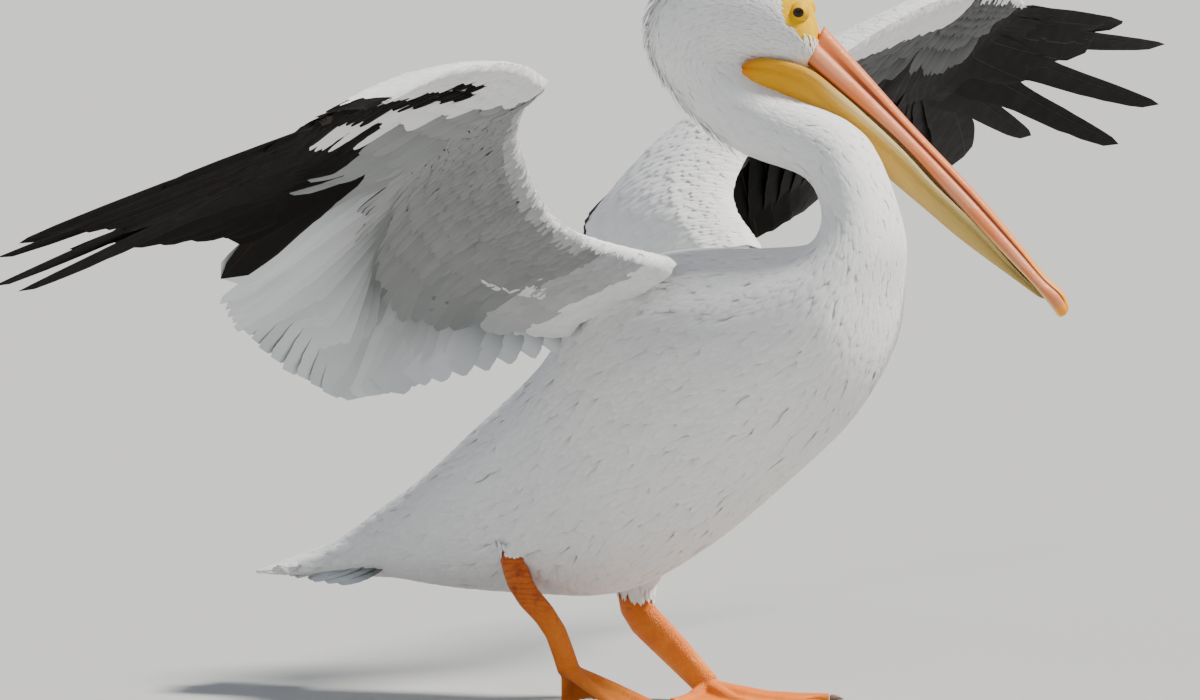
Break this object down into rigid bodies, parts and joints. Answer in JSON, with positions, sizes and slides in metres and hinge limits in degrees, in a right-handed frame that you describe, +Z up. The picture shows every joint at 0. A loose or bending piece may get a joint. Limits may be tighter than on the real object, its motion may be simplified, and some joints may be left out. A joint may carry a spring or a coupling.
{
  "type": "pelican",
  "caption": "Life-size standing pelican with a long hooked bill, a throat pouch, an S-shaped neck, wings raised half spread, a short tail and webbed feet.",
  "frame": {"origin": "middle of the bird's box, at floor level", "axes": "+X the way the breast faces, +Y the bird's left, +Z up; the wings run along Y"},
  "size_m": [0.7696, 2.046, 0.701],
  "materials": {
    "white_plumage": "matt white feathers",
    "black_plumage": "matt black flight feathers",
    "bill_horn": "satin horn, salmon pink with an orange groove and tip",
    "pouch_skin": "satin ochre skin",
    "leg_skin": "satin orange scaled skin",
    "claw_horn": "satin brown horn",
    "eye_gloss": "wet, dark brown"
  },
  "bodies": {
    "root": {"trunk": "white_plumage", "tail": "white_plumage", "neck_lower": "white_plumage", "neck_upper": "white_plumage", "head": "white_plumage", "bill_upper": "bill_horn", "bill_lower": "pouch_skin", "eye_right": "eye_gloss", "eye_left": "eye_gloss", "wing_right_arm": "white_plumage", "wing_right_hand": "white_plumage", "wing_right_secondaries": "white_plumage", "wing_right_primaries": "black_plumage", "wing_left_arm": "white_plumage", "wing_left_hand": "white_plumage", "wing_left_secondaries": "white_plumage", "wing_left_primaries": "black_plumage", "leg_right_thigh": "white_plumage", "leg_right_tarsus": "leg_skin", "foot_right": "leg_skin", "claw_right_1": "claw_horn", "claw_right_2": "claw_horn", "claw_right_3": "claw_horn", "claw_right_4": "claw_horn", "leg_left_thigh": "white_plumage", "leg_left_tarsus": "leg_skin", "foot_left": "leg_skin", "claw_left_1": "claw_horn", "claw_left_2": "claw_horn", "claw_left_3": "claw_horn", "claw_left_4": "claw_horn"}
  },
  "joints": []
}
